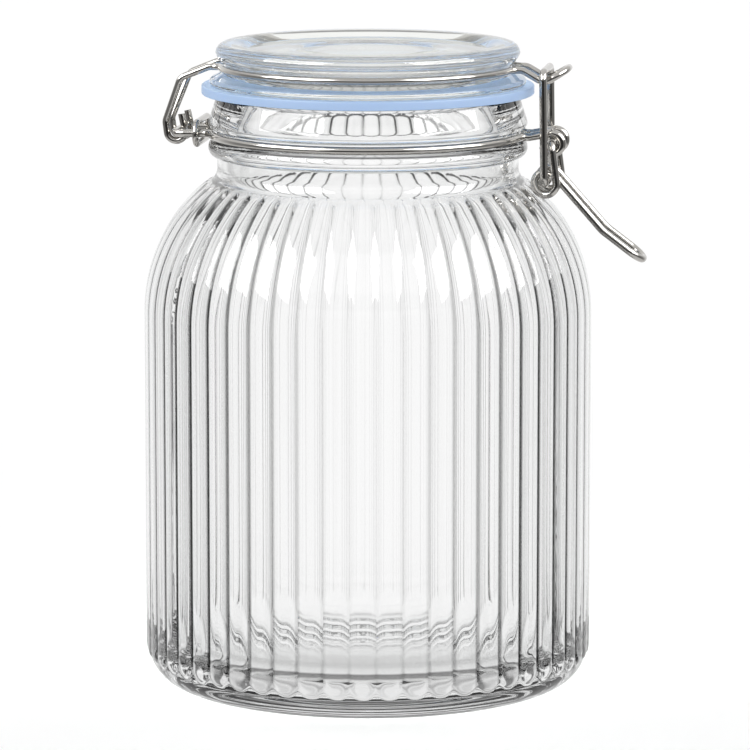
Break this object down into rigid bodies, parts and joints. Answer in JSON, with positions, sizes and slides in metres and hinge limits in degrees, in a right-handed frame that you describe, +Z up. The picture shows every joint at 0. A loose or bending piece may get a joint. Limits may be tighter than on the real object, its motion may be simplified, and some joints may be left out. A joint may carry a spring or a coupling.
{
  "type": "glass storage jar",
  "caption": "Empty ribbed glass storage jar with a round glass lid, a flat rubber gasket and a wire clip closure: hinge at the back of the lid, lever and link latch at the front.",
  "frame": {"origin": "centre of the ring that the jar stands on, on the jar's axis", "axes": "+Z up along the jar's axis; the wire closure lies in the XZ plane, with the hinge on the -X side and the latch lever on the +X side; the side shown is -Y"},
  "size_m": [0.1573, 0.14, 0.2016],
  "materials": {
    "jar_glass": "clear pressed glass, slightly grey-green where thick",
    "lid_glass": "clear pressed glass, slightly olive at the edge",
    "gasket": "satin pale blue silicone",
    "wire": "bright drawn steel wire"
  },
  "bodies": {
    "jar": {"jar_glass": "jar_glass", "neck_wire": "wire", "tie_ring": "wire"},
    "lid": {"lid_glass": "lid_glass", "gasket": "gasket", "lid_wire": "wire"},
    "lever": {"lever": "wire"},
    "link": {"link": "wire"}
  },
  "joints": [
    {"name": "lid_hinge", "type": "hinge", "parent": "jar", "child": "lid", "pos_m": [-0.0597, 0, 0.1733], "axis": [0, -1, 0], "range_deg": [0, 195]},
    {"name": "latch_lever", "type": "hinge", "parent": "jar", "child": "lever", "pos_m": [0.0583, 0, 0.1715], "axis": [0, -1, 0], "range_deg": [0, 100]},
    {"name": "latch_link", "type": "hinge", "parent": "lever", "child": "link", "pos_m": [0.0564, 0, 0.1592], "axis": [0, -1, 0], "range_deg": [-67, 0]}
  ],
  "couplings": [
    {"joint": "latch_link", "follows": "latch_lever", "ratio": -0.66}
  ]
}
